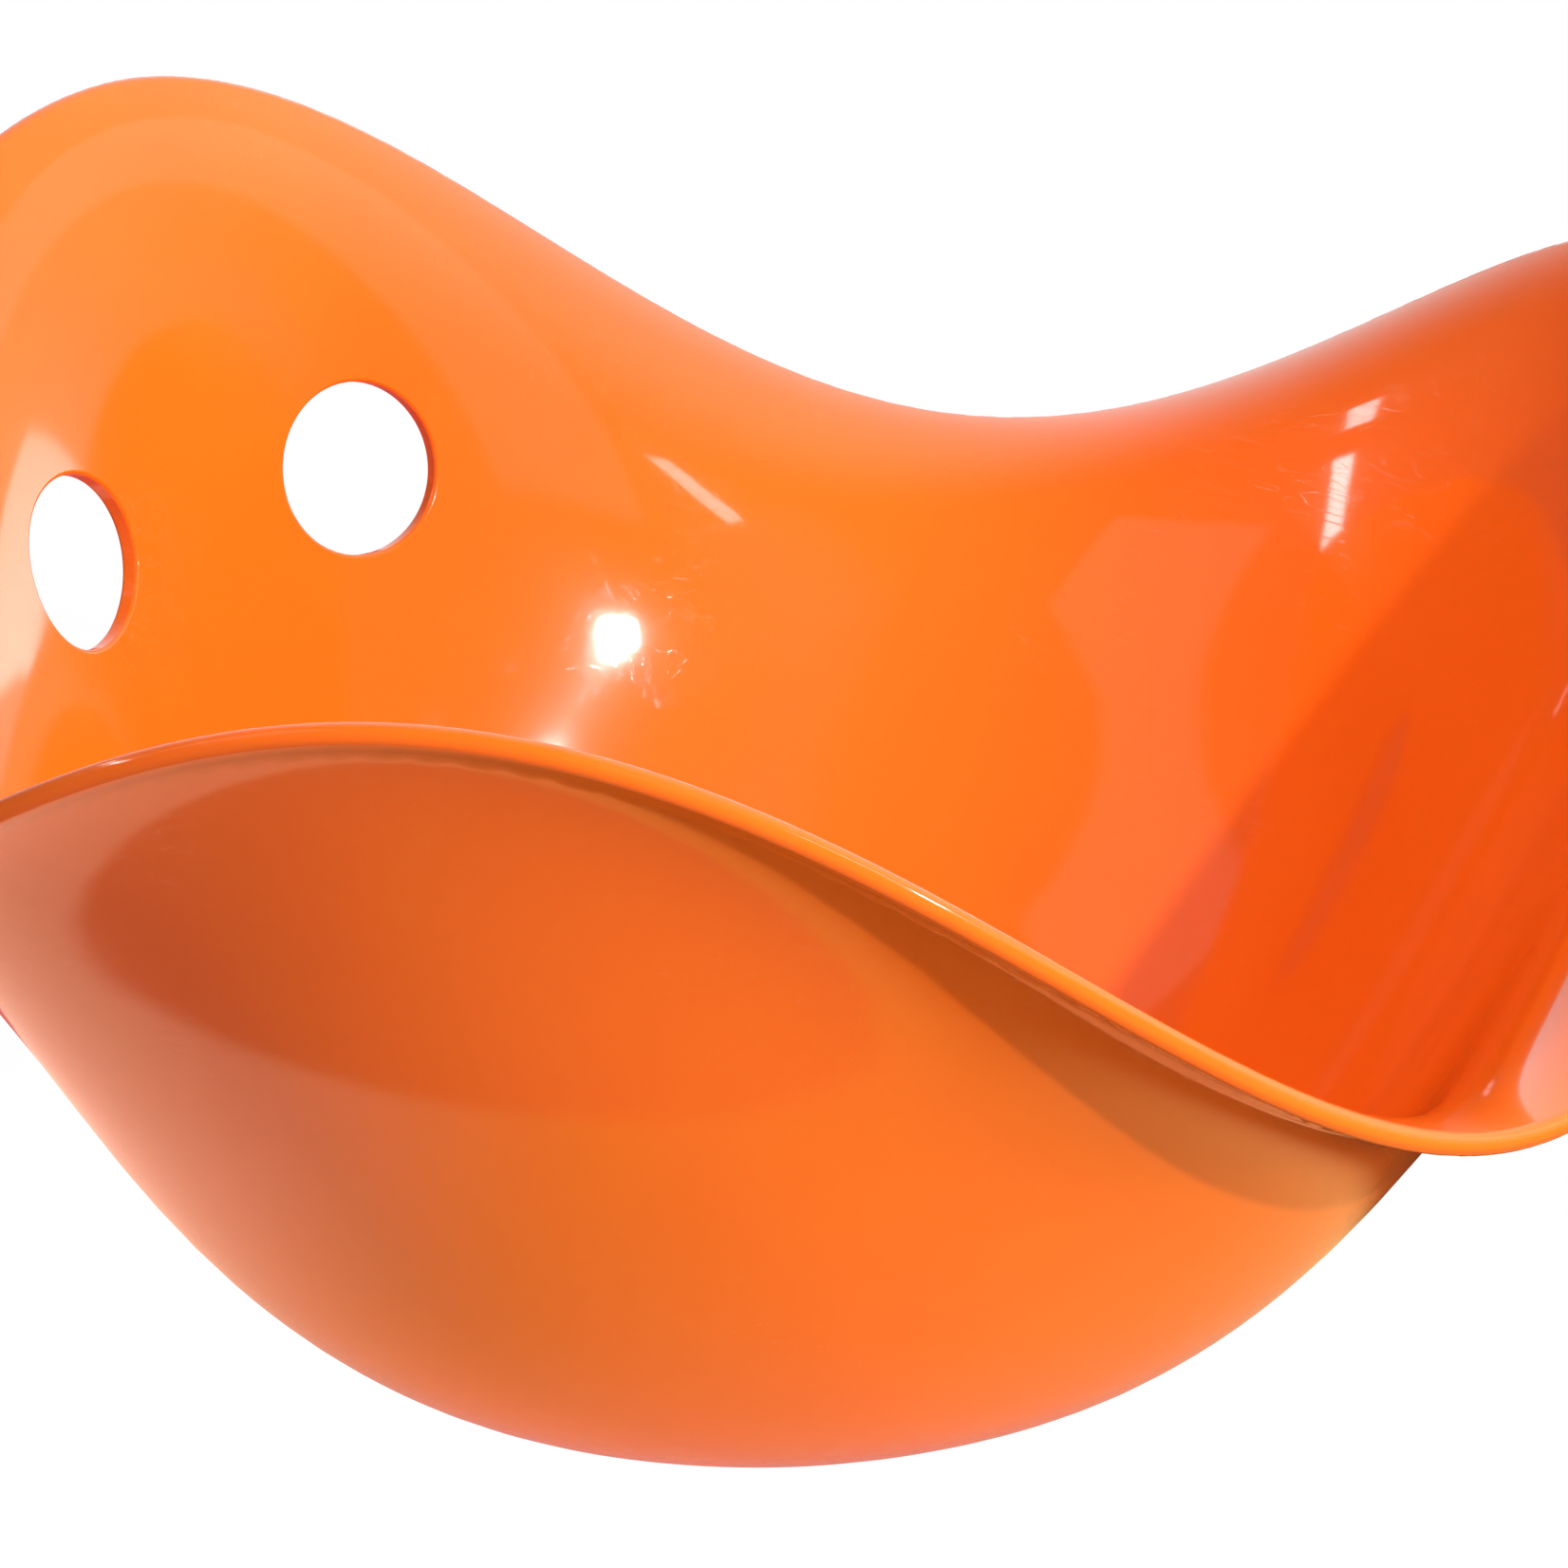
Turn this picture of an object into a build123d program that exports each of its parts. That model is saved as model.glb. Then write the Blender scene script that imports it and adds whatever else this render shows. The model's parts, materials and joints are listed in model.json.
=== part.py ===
from build123d import *
import os
from math import cos, pi, radians, sin

# A rocking shell seat for a child, moulded in one piece. Its round belly grows out of a small
# flat pad, and its wavy beaded rim has three crests and three dips, the dips flared out. The
# tallest crest, on the +Y side, is the back rest and carries two round finger holes.
# The origin is the centre of the pad's underside. Millimetres and degrees.

# Moulding
WALL = 4.0                  # wall thickness, the same all over but for the bead
BEAD_DEPTH = 0.55           # how far the rim's rounded bead stands out from the outside
BEAD_LENGTH = 3.6           # how far back from the rim the wall starts to swell into it
HOLE_ROUND = 0.8            # rounding of the finger holes' edges

# Rim, the shell's outer edge. A bearing is measured from +Y towards +X. Each wave is
# {waves per turn: amplitude}, added to the mean as amplitude * cos(waves * bearing).
RIM_RADIUS = 195.0
RIM_RADIUS_WAVES = {1: -9.9, 2: -5.5, 3: -1.4}
RIM_HEIGHT = 162.9
RIM_HEIGHT_WAVES = {1: 12.2, 2: -1.1, 3: 43.9, 6: -1.2}

# Wall section in the half-plane at one bearing, a cubic curve from the pad to the rim.
# Each pair is the value at a crest and the value at a dip.
PAD_RADIUS = 20.0
BELLY_REACH = (133.3, 115.1)    # how far the section runs level before it turns up
FLARE_REACH = (49.0, 61.0)      # how far back from the rim it starts to lean out
FLARE_LEAN = (40.5, 92.1)       # its lean from the vertical at the rim

# Finger holes
HOLE_RADIUS = 17.3
HOLE_BEARING = 14.9         # each side of +Y
HOLE_HEIGHT = 138.3         # height of the hole's centre on the outside of the wall

# How finely the smooth surfaces are laid out
RING_POINTS = 36
WALL_RINGS = 20
BEAD_LEVELS = (0.925, 0.965, 0.98, 0.985, 0.99, 0.995)   # rings added where the bead swells
RIM_RINGS = 6
STEP = 1e-4


def wave_sum(mean, waves, bearing):
    """Mean value plus its cosine waves at one bearing."""
    return mean + sum(size * cos(count * bearing) for count, size in waves.items())


def crest_to_dip(pair, bearing):
    """Value that swings from pair[0] at the three crests to pair[1] at the three dips."""
    at_crest, at_dip = pair
    share = (1 + cos(3 * bearing)) / 2
    return at_crest * share + at_dip * (1 - share)


def skin(bearing, t):
    """Point on the outside before the bead, where t runs from 0 at the pad to 1 at the rim."""
    radius = wave_sum(RIM_RADIUS, RIM_RADIUS_WAVES, bearing)
    height = wave_sum(RIM_HEIGHT, RIM_HEIGHT_WAVES, bearing)
    belly = crest_to_dip(BELLY_REACH, bearing)
    flare = crest_to_dip(FLARE_REACH, bearing)
    lean = radians(crest_to_dip(FLARE_LEAN, bearing))
    radii = (PAD_RADIUS, PAD_RADIUS + belly, radius - flare * sin(lean), radius)
    heights = (0.0, 0.0, height - flare * cos(lean), height)
    weights = ((1 - t) ** 3, 3 * t * (1 - t) ** 2, 3 * t**2 * (1 - t), t**3)
    rho = sum(w * r for w, r in zip(weights, radii))
    z = sum(w * h for w, h in zip(weights, heights))
    return Vector(rho * sin(bearing), rho * cos(bearing), z)


def around(bearing, t):
    """Unit direction round the shell, towards a larger bearing."""
    return (skin(bearing + STEP, t) - skin(bearing - STEP, t)).normalized()


def inward(bearing, t):
    """Unit normal of the outside, pointing through the wall into the seat."""
    along = skin(bearing, t + STEP) - skin(bearing, t - STEP)
    return around(bearing, t).cross(along).normalized()


def outside(bearing, t):
    """Point on the finished outside, which swells smoothly into the bead near the rim."""
    from_rim = 3 * crest_to_dip(FLARE_REACH, bearing) * (1 - t)
    share = max(0.0, 1 - from_rim / BEAD_LENGTH)
    swell = share**3 * (10 - 15 * share + 6 * share**2)
    return skin(bearing, t) - inward(bearing, t) * BEAD_DEPTH * swell


def inside(bearing, t):
    """Point on the seat side of the wall."""
    return skin(bearing, t) + inward(bearing, t) * WALL


def rim_round(bearing, turn):
    """Point on the half-round edge of the bead, from turn 0 outside to turn pi inside."""
    through = inward(bearing, 1)
    outward = through.cross(around(bearing, 1))
    radius = (WALL + BEAD_DEPTH) / 2
    return outside(bearing, 1) + through * radius * (1 - cos(turn)) + outward * radius * sin(turn)


def ring(surface, level):
    """Closed smooth curve round the shell at one level of a surface."""
    knots = [i / RING_POINTS for i in range(RING_POINTS + 1)]
    points = [surface(2 * pi * knot, level) for knot in knots[:-1]]
    return Wire([Edge.make_spline(points, periodic=True, parameters=knots)])


def shell_blank():
    """The closed shell before its holes: two skins, the rim's round and two pad discs."""
    levels = [i / WALL_RINGS for i in range(WALL_RINGS + 1)]
    outer_rings = [ring(outside, level) for level in sorted((*levels, *BEAD_LEVELS))]
    inner_rings = [ring(inside, level) for level in levels]
    turns = [pi * i / RIM_RINGS for i in range(1, RIM_RINGS)]
    rim_rings = [outer_rings[-1], *(ring(rim_round, turn) for turn in turns), inner_rings[-1]]
    faces = [Face(outer_rings[0]), Face(inner_rings[0])]
    for rings in (outer_rings, rim_rings, inner_rings):
        faces.extend(Shell.make_loft(rings).faces())
    return Solid(Shell(faces))


def level_at_height(bearing, height):
    """The t at which the wall's outside reaches a height, found by halving."""
    low, high = 0.0, 1.0
    while high - low > STEP:
        middle = (low + high) / 2
        if skin(bearing, middle).Z < height:
            low = middle
        else:
            high = middle
    return (low + high) / 2


def hole_cutter(bearing):
    """Cylinder square to the wall at one finger hole."""
    level = level_at_height(bearing, HOLE_HEIGHT)
    axis = inward(bearing, level)
    centre = skin(bearing, level) + axis * WALL / 2
    depth = 6 * WALL
    return Plane(origin=centre, z_dir=axis) * Cylinder(HOLE_RADIUS, depth)


shell = shell_blank()
for side in (1, -1):
    shell = (shell - hole_cutter(side * radians(HOLE_BEARING))).solid()
bores = shell.faces().filter_by(GeomType.CYLINDER)
mouths = bores.edges().filter_by(GeomType.BSPLINE)
shell = shell.fillet(HOLE_ROUND, mouths)

os.makedirs("parts", exist_ok=True)
export_step(shell, "parts/shell.step")
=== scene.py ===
import json
import math

import bpy
import numpy as np
from mathutils import Matrix, Vector

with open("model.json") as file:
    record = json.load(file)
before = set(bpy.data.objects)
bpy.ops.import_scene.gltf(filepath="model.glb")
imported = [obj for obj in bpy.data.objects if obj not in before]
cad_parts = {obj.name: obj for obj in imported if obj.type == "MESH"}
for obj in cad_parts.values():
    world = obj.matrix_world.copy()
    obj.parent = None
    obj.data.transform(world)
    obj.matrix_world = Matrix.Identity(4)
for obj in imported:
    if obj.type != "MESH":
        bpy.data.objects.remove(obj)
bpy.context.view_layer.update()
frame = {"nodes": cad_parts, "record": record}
scene = bpy.context.scene

# A glossy orange rocking shell seat on a white table, lit and seen as in the photograph.
# Lengths are in metres. Directions are given as seen from the camera: azimuth 0 points back at
# it and grows to its right, and elevation is above the horizon.
VIEW_YAW = math.radians(46.683)     # how far round the camera stands, from -Y towards -X
VIEW_ELEVATION = 20.814
VIEW_DISTANCE = 2.3235
VIEW_LENS = 280.3
SENSOR = 36.0
AIM_RIGHT = 0.0073                  # the point it looks at, right of the axis and above the floor
AIM_HEIGHT = 0.1197
OBJECT_CENTRE = Vector((0.0, 0.0, 0.11))
FLOOR_REACH = 4.0

# Colours, linear
ORANGE = (0.91, 0.147, 0.008, 1)
ORANGE_DEEP = (0.88, 0.132, 0.007, 1)
ORANGE_SCUFFED = (0.90, 0.36, 0.16, 1)
WHITE = (1, 1, 1, 1)
FLOOR_GREY = (0.36, 0.36, 0.36, 1)

# Painted reflection: colours that the table shows only in the gloss, standing in for its light and
# shade, by place on the table
TABLE_PAINTED_FOOT_SHADE = (0.70, 0.25, 0.25, 1)
TABLE_PAINTED_LIGHT_LEFT = (1.50, 0.80, 0.60, 1)
TABLE_PAINTED_LIGHT_RIGHT = (0.90, 0.58, 0.18, 1)
TABLE_PAINTED_RIM_SHADOW = (0.06, 0.02, 0.01, 1)
TABLE_PAINTED_SHADE_BEYOND = (0.80, 0.18, 0.17, 1)

# Where those painted tints give way to each other: by distance from the axis, by place to its right,
# and by the length of the mirrored ray, which is longer from the rim than from the belly
FOOT_EDGE = (0.04, 0.17)
RIM_SHADOW_EDGE = (0.17, 0.205)
BEYOND_EDGE = (0.204, 0.212)
RIGHT_EDGE = (-0.16, -0.05)
RIM_RAY = (0.115, 0.15)

# The table as seen directly, and a painted glow on it round the foot that gives more light to the
# belly
TABLE_WHITE = 1.04
PLAIN_SHARE = 0.94
PAINTED_FOOT_GLOW = 0.74
FOOT_GLOW_EDGE = (0.08, 0.26)

# Surface relief of the plastic
PEEL_HEIGHT = 0.0000006
SWELL_HEIGHT = 0.000002
SCRATCH_DEPTH = 0.000006
SCUFF_DEPTH = 0.00002

# Brightness of the sky as a light, and as mirrored in the gloss in front and behind
SKY = 0.42
SKY_MIRRORED = 0.12
BACKDROP_MIRRORED = 1.2
PANEL_FADE = 0.08       # how soft the edges of a light panel are

# The shell's exact surface, laid out as the CAD does. Millimetres here, and bearings in radians
# from +Y towards +X. A wave is a mean and {waves per turn: amplitude}, and a pair is the value
# at a crest and at a dip.
WALL = 4.0
BEAD_DEPTH = 0.55
BEAD_LENGTH = 3.6
RIM_RADIUS = (195.0, {1: -9.9, 2: -5.5, 3: -1.4})
RIM_HEIGHT = (162.9, {1: 12.2, 2: -1.1, 3: 43.9, 6: -1.2})
PAD_RADIUS = 20.0
BELLY_REACH = (133.3, 115.1)
FLARE_REACH = (49.0, 61.0)
FLARE_LEAN = (40.5, 92.1)
STEP = 1e-4

# How finely the hidden guide surface is laid out, where t runs from 0 at the pad to 1 at the rim
GUIDE_BEARINGS = 540
GUIDE_START = 0.004
GUIDE_BEAD = 0.93
WALL_LEVELS = 260
BEAD_LEVELS = 40
RIM_TURNS = 24
HOLE_ROUND = 0.0007     # band round a finger hole that keeps its own shading
HOLE_DEPTH = 0.02       # and how far from the hole's middle that reaches along its axis


def wave_sum(wave, bearing):
    """Mean value plus its cosine waves at one bearing."""
    mean, waves = wave
    return mean + sum(size * np.cos(count * bearing) for count, size in waves.items())


def crest_to_dip(pair, bearing):
    """Value that swings from pair[0] at the three crests to pair[1] at the three dips."""
    share = (1 + np.cos(3 * bearing)) / 2
    return pair[0] * share + pair[1] * (1 - share)


def unit(v):
    """The vectors, each scaled to length 1."""
    return v / np.linalg.norm(v, axis=-1, keepdims=True)


def skin(bearing, t):
    """Points on the outside before the bead."""
    radius = wave_sum(RIM_RADIUS, bearing)
    height = wave_sum(RIM_HEIGHT, bearing)
    belly = crest_to_dip(BELLY_REACH, bearing)
    flare = crest_to_dip(FLARE_REACH, bearing)
    lean = np.radians(crest_to_dip(FLARE_LEAN, bearing))
    radii = (PAD_RADIUS, PAD_RADIUS + belly, radius - flare * np.sin(lean), radius)
    heights = (0.0, 0.0, height - flare * np.cos(lean), height)
    weights = ((1 - t) ** 3, 3 * t * (1 - t) ** 2, 3 * t**2 * (1 - t), t**3)
    rho = sum(w * r for w, r in zip(weights, radii))
    z = sum(w * h for w, h in zip(weights, heights))
    return np.stack([rho * np.sin(bearing), rho * np.cos(bearing), z], axis=-1)


def directions(bearing, t):
    """Unit vectors round the shell and through the wall into the seat."""
    around = unit(skin(bearing + STEP, t) - skin(bearing - STEP, t))
    along = skin(bearing, t + STEP) - skin(bearing, t - STEP)
    return around, unit(np.cross(around, along))


def outside(bearing, t):
    """Points on the finished outside, which swells smoothly into the bead near the rim."""
    from_rim = 3 * crest_to_dip(FLARE_REACH, bearing) * (1 - t)
    share = np.clip(1 - from_rim / BEAD_LENGTH, 0.0, None)
    swell = share**3 * (10 - 15 * share + 6 * share**2)
    return skin(bearing, t) - directions(bearing, t)[1] * (BEAD_DEPTH * swell)[..., None]


def both_sides(level, bearing):
    """Points and normals of the outside and of the inside, on a grid of levels and bearings."""
    t, b = np.meshgrid(level, bearing, indexing="ij")
    across = outside(b + STEP, t) - outside(b - STEP, t)
    along = outside(b, t + STEP) - outside(b, t - STEP)
    through = directions(b, t)[1]
    return (outside(b, t), -unit(np.cross(across, along))), (skin(b, t) + through * WALL, through)


def rim_round(bearing):
    """Points and normals of the half-round edge of the bead, from the outside to the inside."""
    turn, b = np.meshgrid(np.linspace(0, math.pi, RIM_TURNS), bearing, indexing="ij")
    rim = np.full_like(b, 1 - STEP)
    around, through = directions(b, rim)
    outward = np.cross(through, around)
    normal = outward * np.sin(turn)[..., None] - through * np.cos(turn)[..., None]
    radius = (WALL + BEAD_DEPTH) / 2
    return outside(b, rim) + through * radius + normal * radius, normal


def exact_surface():
    """Hidden mesh of the formula's own surface, carrying its exact normals."""
    wall = np.linspace(GUIDE_START, GUIDE_BEAD, WALL_LEVELS)
    bead = np.linspace(GUIDE_BEAD, 1 - 2 * STEP, BEAD_LEVELS)
    bearing = np.linspace(0, 2 * math.pi, GUIDE_BEARINGS, endpoint=False)
    outer, inner = both_sides(np.concatenate([wall, bead[1:]]), bearing)
    edge = rim_round(bearing)
    points, normals = (np.concatenate([o, e, i[::-1]]) for o, e, i in zip(outer, edge, inner))

    index = np.arange(len(points) * GUIDE_BEARINGS).reshape(-1, GUIDE_BEARINGS)
    after = np.roll(index, -1, axis=1)
    quads = np.stack([index[:-1], after[:-1], after[1:], index[1:]], axis=-1).reshape(-1, 4)
    mesh = bpy.data.meshes.new("exact_surface")
    mesh.from_pydata((points.reshape(-1, 3) / 1000).tolist(), [], quads.tolist())
    mesh.normals_split_custom_set_from_vertices(normals.reshape(-1, 3).tolist())
    guide = bpy.data.objects.new("exact_surface", mesh)
    scene.collection.objects.link(guide)
    guide.hide_render = True
    return guide


def smooth_shading(shell):
    """Shades the shell with the exact surface's normals, except inside the finger holes."""
    spots = np.array([v.co for v in shell.data.vertices])
    keep = np.ones(len(spots), bool)
    for hole in frame["record"]["mounts"]:
        if hole["kind"] != "bore":
            continue
        offset = spots - hole["pos_m"]
        along = offset @ hole["axis"]
        off_axis = np.linalg.norm(offset - np.outer(along, hole["axis"]), axis=1)
        edge = hole["dims"]["r_mm"] / 1000 + HOLE_ROUND
        keep &= (off_axis > edge) | (np.abs(along) > HOLE_DEPTH)
    smooth = shell.vertex_groups.new(name="smooth")
    smooth.add(np.flatnonzero(keep).tolist(), 1.0, "REPLACE")
    transfer = shell.modifiers.new("exact_normals", "DATA_TRANSFER")
    transfer.object = exact_surface()
    transfer.use_loop_data = True
    transfer.data_types_loops = {"CUSTOM_NORMAL"}
    transfer.loop_mapping = "POLYINTERP_NEAREST"
    transfer.vertex_group = smooth.name


class Tree:
    """Small helper that adds and wires shader nodes."""

    def __init__(self, owner):
        owner.use_nodes = True
        self.nodes = owner.node_tree.nodes
        self.links = owner.node_tree.links

    def plug(self, value, socket):
        """Wires another node's output into the socket, or sets the socket to a plain value."""
        if isinstance(value, bpy.types.NodeSocket):
            self.links.new(value, socket)
        else:
            socket.default_value = value

    def add(self, kind, values=(), out=0, **settings):
        """Adds a node with its first inputs plugged, and gives one of its outputs."""
        node = self.nodes.new(kind)
        for key, value in settings.items():
            setattr(node, key, value)
        for index, value in enumerate(values):
            self.plug(value, node.inputs[index])
        return node.outputs[out]

    def named(self, kind, out=0, **values):
        """Adds a node with inputs plugged by name, and gives one of its outputs."""
        node = self.nodes.new(kind)
        for name, value in values.items():
            self.plug(value, node.inputs[name])
        return node.outputs[out]

    def math(self, operation, *values):
        return self.add("ShaderNodeMath", values, operation=operation)

    def ramp(self, value, low, high, to_low=0.0, to_high=1.0):
        """value from low..high to to_low..to_high, smoothly and held at the ends."""
        values = (value, low, high, to_low, to_high)
        return self.add("ShaderNodeMapRange", values, interpolation_type="SMOOTHSTEP")

    def noise(self, vector, scale, detail=2.0, roughness=0.5):
        values = {"Vector": vector, "Scale": scale, "Detail": detail, "Roughness": roughness}
        return self.named("ShaderNodeTexNoise", "Fac", **values)

    def stretched(self, vector, turn, scale):
        """The vector turned about all three axes and stretched."""
        return self.named("ShaderNodeMapping", Vector=vector, Rotation=turn, Scale=scale)

    def part(self, vector, axis):
        """The x, y or z part of a vector, for axis 0, 1 or 2."""
        return self.add("ShaderNodeSeparateXYZ", (vector,), out=axis)

    def towards(self, vector, direction):
        """How far the vector reaches in a direction."""
        values = (vector, direction)
        return self.add("ShaderNodeVectorMath", values, out=1, operation="DOT_PRODUCT")

    def mix(self, share, first, second):
        """Colour between the first and the second."""
        node = self.nodes.new("ShaderNodeMix")
        node.data_type = "RGBA"
        for index, value in ((0, share), (6, first), (7, second)):
            self.plug(value, node.inputs[index])
        return node.outputs[2]


def from_view(azimuth, elevation):
    """Unit vector in the object's frame for a direction given as seen from the camera."""
    a, e = math.radians(azimuth), math.radians(elevation)
    seen = Vector((math.sin(a) * math.cos(e), -math.cos(a) * math.cos(e), math.sin(e)))
    return Matrix.Rotation(-VIEW_YAW, 3, "Z") @ seen


def add_camera():
    """Camera at the photograph's viewing angle."""
    turn = Matrix.Rotation(-VIEW_YAW, 3, "Z")
    aim = turn @ Vector((AIM_RIGHT, 0.0, AIM_HEIGHT))
    back = from_view(0.0, VIEW_ELEVATION)
    data = bpy.data.cameras.new("camera")
    data.sensor_width = SENSOR
    data.lens = VIEW_LENS
    camera = bpy.data.objects.new("camera", data)
    camera.location = aim + back * VIEW_DISTANCE
    camera.rotation_euler = (-back).to_track_quat("-Z", "Y").to_euler()
    scene.collection.objects.link(camera)
    scene.camera = camera


def add_panel(
    name, azimuth, elevation, distance, width, height, radiance, roll=0.0, lights=True, mirrored=True
):
    """Area light aimed at the object, given by how bright its face looks. It fades to its edges.

    roll turns it about its aim, in degrees. It lights surfaces, shows in their gloss, or both.
    """
    data = bpy.data.lights.new(name, "AREA")
    data.shape = "RECTANGLE"
    data.size = width
    data.size_y = height
    data.energy = radiance * math.pi * width * height
    tree = Tree(data)
    place = tree.add("ShaderNodeNewGeometry", out=5)
    fades = []
    for axis in (0, 1):
        along = tree.part(place, axis)
        hump = tree.math("MULTIPLY", along, tree.math("SUBTRACT", 1.0, along))
        fades.append(tree.ramp(hump, 0.0, PANEL_FADE))
    tree.plug(tree.math("MULTIPLY", *fades), tree.nodes["Emission"].inputs["Strength"])
    light = bpy.data.objects.new(name, data)
    out = from_view(azimuth, elevation)
    light.location = OBJECT_CENTRE + out * distance
    turn = out.to_track_quat("Z", "Y").to_matrix() @ Matrix.Rotation(math.radians(roll), 3, "Z")
    light.rotation_euler = turn.to_euler()
    light.visible_camera = False
    light.visible_diffuse = lights
    light.visible_glossy = mirrored
    scene.collection.objects.link(light)


def scratches(tree, place):
    """Hairline scratches: thin ridges of noise stretched along three directions, in patches."""
    lines = 0.0
    for turn, scale in (((0.3, 0.2, 0.5), 260.0), ((1.1, 0.4, 2.1), 310.0), ((0.7, 1.3, 3.6), 220.0)):
        field = tree.noise(tree.stretched(place, turn, (1.0, 0.05, 1.0)), scale, 1.0)
        ridge = tree.math("ABSOLUTE", tree.math("SUBTRACT", field, 0.5))
        lines = tree.math("MAXIMUM", lines, tree.ramp(ridge, 0.0, 0.004, 1.0, 0.0))
    patches = tree.ramp(tree.noise(place, 22.0, 2.0), 0.50, 0.66)
    return tree.math("MULTIPLY", lines, patches)


def foot_scuffs(tree, place):
    """Scuffs on the underside, where the shell rocks on the ground, fading out up the belly."""
    facing = tree.part(tree.add("ShaderNodeNewGeometry", out=1), 2)
    underneath = tree.ramp(facing, -0.3, -0.1, 1.0, 0.0)
    foot = tree.math("MULTIPLY", tree.ramp(tree.part(place, 2), 0.0, 0.035, 1.0, 0.0), underneath)
    grit = tree.ramp(tree.noise(place, 160.0, 6.0, 0.7), 0.44, 0.62)
    return tree.math("MULTIPLY", foot, grit)


def plastic():
    """Glossy orange polyethylene: faint flow clouds, orange peel, hairlines and a scuffed foot."""
    material = bpy.data.materials.new("glossy_orange_plastic")
    tree = Tree(material)
    bsdf = tree.nodes["Principled BSDF"]
    place = tree.add("ShaderNodeTexCoord", out=3)

    clouds = tree.noise(place, 9.0, 3.0)
    speckle = tree.noise(place, 900.0, 1.0)
    peel = tree.noise(place, 330.0, 2.0)
    swell = tree.noise(place, 45.0, 1.0)
    hairlines = scratches(tree, place)
    scuff = foot_scuffs(tree, place)
    worn = tree.math("MAXIMUM", scuff, tree.math("MULTIPLY", hairlines, 0.35))

    body = tree.mix(tree.ramp(clouds, 0.35, 0.68), ORANGE, ORANGE_DEEP)
    body = tree.mix(tree.math("MULTIPLY", tree.ramp(speckle, 0.62, 0.8), 0.12), body, ORANGE_DEEP)
    colour = tree.mix(tree.math("MULTIPLY", worn, 0.35), body, ORANGE_SCUFFED)
    gloss = tree.ramp(clouds, 0.3, 0.7, 0.045, 0.075)
    rough = tree.math("ADD", gloss, tree.math("MULTIPLY", worn, 0.28))

    relief = tree.math("MULTIPLY", peel, PEEL_HEIGHT)
    relief = tree.math("MULTIPLY_ADD", swell, SWELL_HEIGHT, relief)
    relief = tree.math("MULTIPLY_ADD", hairlines, -SCRATCH_DEPTH, relief)
    relief = tree.math("MULTIPLY_ADD", scuff, -SCUFF_DEPTH, relief)
    normal = tree.named("ShaderNodeBump", Distance=1.0, Height=relief)

    finish = {
        "Base Color": colour,
        "Roughness": rough,
        "Normal": normal,
        "IOR": 1.5,
        "Coat Weight": 0.15,
        "Coat Roughness": 0.2,
        "Subsurface Weight": 0.10,
        "Subsurface Radius": (1.0, 0.22, 0.06),
        "Subsurface Scale": 0.005,
    }
    for name, value in finish.items():
        tree.plug(value, bsdf.inputs[name])
    return material


def painted_table_reflection(tree, place, radius, ray_length):
    """Painted reflection: the glow that the table shows only in the gloss, by place on the table.

    It is painted dim at the foot, bright round it, brighter to the left, and dim again beyond the
    rim. A ray long enough to come from the rim's underside, not from the belly, sees the table in a
    painted shadow of the shell.
    """
    right = tree.ramp(tree.towards(place, from_view(90.0, 0.0)), *RIGHT_EDGE)
    lit = tree.mix(right, TABLE_PAINTED_LIGHT_LEFT, TABLE_PAINTED_LIGHT_RIGHT)
    near = tree.mix(tree.ramp(radius, *FOOT_EDGE), TABLE_PAINTED_FOOT_SHADE, lit)
    from_rim = tree.math("MULTIPLY", tree.ramp(ray_length, *RIM_RAY), right)
    shadow = tree.math("MULTIPLY", from_rim, tree.ramp(radius, *RIM_SHADOW_EDGE, 1.0, 0.0))
    near = tree.mix(shadow, near, TABLE_PAINTED_RIM_SHADOW)
    return tree.mix(tree.ramp(radius, *BEYOND_EDGE), near, TABLE_PAINTED_SHADE_BEYOND)


def floor_material():
    """White table top, with a painted glow round the foot and a painted reflection of its light
    and shade for the gloss, and see-through from below.
    """
    material = bpy.data.materials.new("floor_white")
    tree = Tree(material)
    tree.nodes.clear()
    ray = tree.nodes.new("ShaderNodeLightPath").outputs
    place = tree.add("ShaderNodeTexCoord", out=3)
    radius = tree.add("ShaderNodeVectorMath", (place,), out=1, operation="LENGTH")

    # The camera sees it nearly all plain white, with a little of the shell's shade and of the painted
    # glow round the foot.
    matt = tree.add("ShaderNodeBsdfDiffuse", (FLOOR_GREY,))
    # Painted glow: the table shines round the foot, fading outwards, so the belly above it gets more
    # light.
    foot_glow = tree.add("ShaderNodeEmission", (WHITE, tree.ramp(radius, *FOOT_GLOW_EDGE, PAINTED_FOOT_GLOW, 0.0)))
    shaded = tree.add("ShaderNodeAddShader", (matt, foot_glow))
    white = tree.add("ShaderNodeEmission", (WHITE, TABLE_WHITE))
    plain = tree.math("MULTIPLY", ray["Is Camera Ray"], PLAIN_SHARE)
    seen = tree.add("ShaderNodeMixShader", (plain, shaded, white))

    # Glossy rays see the painted reflection of the table's light and shade instead of the table.
    glow = painted_table_reflection(tree, place, radius, ray["Ray Length"])
    image = tree.add("ShaderNodeEmission", (glow, 1.0))
    above = tree.add("ShaderNodeMixShader", (ray["Is Glossy Ray"], seen, image))
    below = tree.add("ShaderNodeBsdfTransparent", (WHITE,))
    from_below = tree.add("ShaderNodeNewGeometry", out=6)
    table = tree.add("ShaderNodeMixShader", (from_below, above, below))
    tree.plug(table, tree.nodes.new("ShaderNodeOutputMaterial").inputs["Surface"])
    return material


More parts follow.
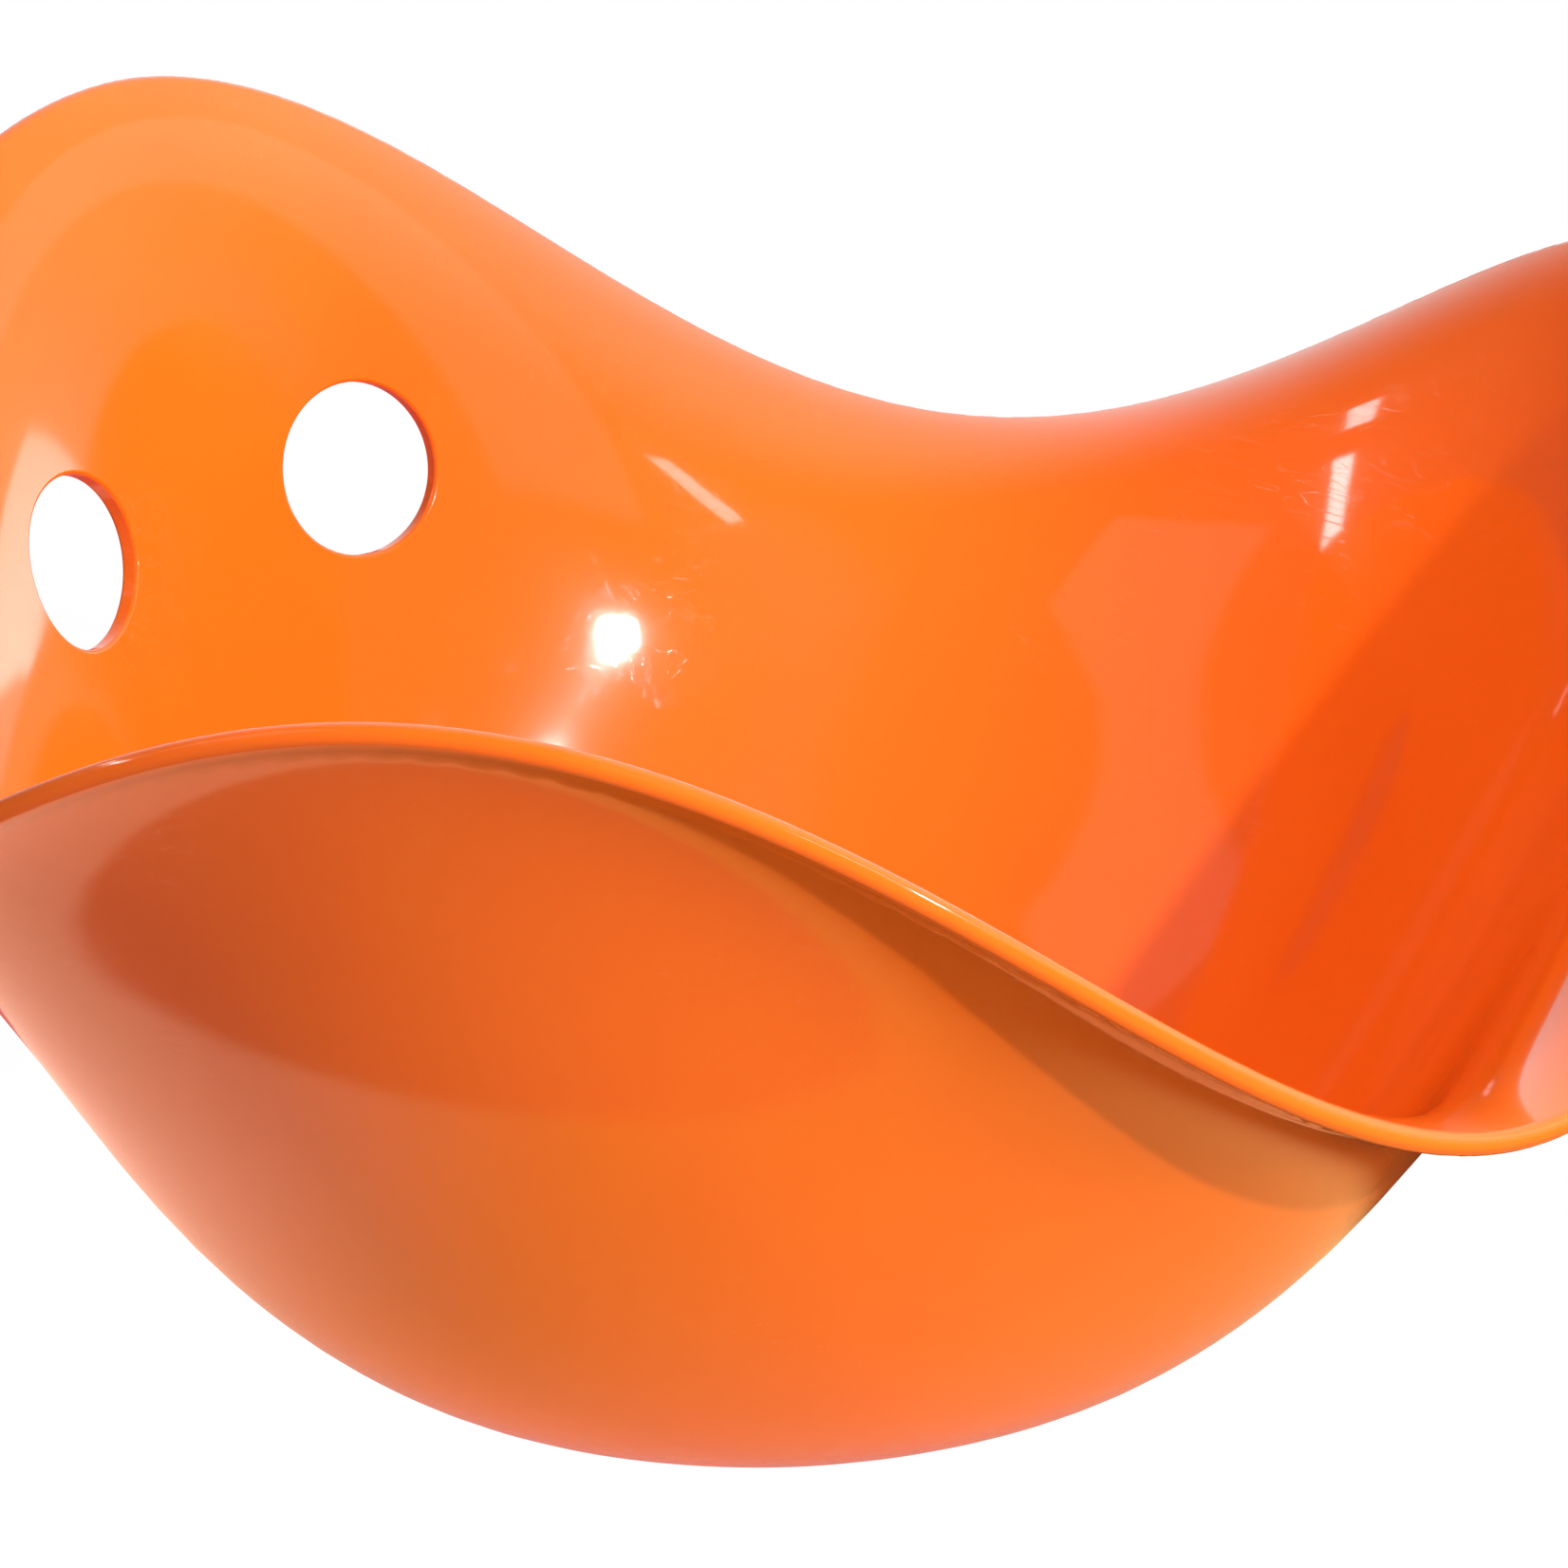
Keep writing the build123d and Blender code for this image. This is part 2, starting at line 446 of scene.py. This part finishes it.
def add_floor():
    """Plain pale floor at the pad's height."""
    mesh = bpy.data.meshes.new("floor")
    s = FLOOR_REACH
    mesh.from_pydata([(-s, -s, 0), (s, -s, 0), (s, s, 0), (-s, s, 0)], [], [(0, 1, 2, 3)])
    floor = bpy.data.objects.new("floor", mesh)
    mesh.materials.append(floor_material())
    scene.collection.objects.link(floor)


def add_world():
    """White sky that shows dimmer in the gloss, but for a bright backdrop behind the shell."""
    world = bpy.data.worlds.new("studio")
    tree = Tree(world)
    background = tree.nodes["Background"]
    background.inputs["Color"].default_value = WHITE
    mirrored = tree.nodes.new("ShaderNodeLightPath").outputs["Is Glossy Ray"]
    behind = tree.towards(tree.add("ShaderNodeTexCoord", out=0), from_view(150.0, 20.0))
    reflected = tree.ramp(behind, 0.2, 0.85, SKY_MIRRORED, BACKDROP_MIRRORED)
    tree.plug(tree.ramp(mirrored, 0.0, 1.0, SKY, reflected), background.inputs["Strength"])
    scene.world = world


def add_lights():
    """Soft studio lights: name, azimuth, elevation, distance, width, height and radiance."""
    # These light the surfaces and don't show in the gloss.
    add_panel("key", 37.5, 26.9, 3.0, 0.06, 0.05, 10800.0, mirrored=False)
    add_panel("high_fill", 30.0, 50.0, 2.0, 1.3, 0.9, 6.2, mirrored=False)
    add_panel("low_fill", 78.0, 7.0, 2.0, 0.6, 0.3, 26.0, mirrored=False)
    # The key's small highlight is its own light, near enough for the hollow to show it once.
    add_panel("key_glint", 45.1, 31.7, 0.45, 0.021, 0.021, 300.0, lights=False)
    # Pale bands and streaks in the gloss on each side, and a backdrop behind the far rim.
    add_panel("left_softbox", -83.0, 40.0, 2.0, 1.0, 0.82, 0.5)
    add_panel("left_strip", -101.0, 23.5, 2.0, 0.66, 0.06, 14.0, roll=-15.0)
    add_panel("left_tick", -121.0, 25.5, 2.0, 0.22, 0.07, 9.0)
    add_panel("right_softbox", 82.0, 27.0, 2.0, 2.2, 0.55, 0.6, roll=-6.0)
    add_panel("right_spark", 61.5, 43.0, 2.0, 0.5, 0.12, 8.0, roll=-29.0)
    add_panel("backdrop", 120.0, 4.0, 2.0, 0.7, 0.25, 4.0)


shell = frame["nodes"]["shell"]
shell.data.materials.clear()
shell.data.materials.append(plastic())
smooth_shading(shell)

add_camera()
add_floor()
add_world()
add_lights()
scene.view_settings.view_transform = "Standard"
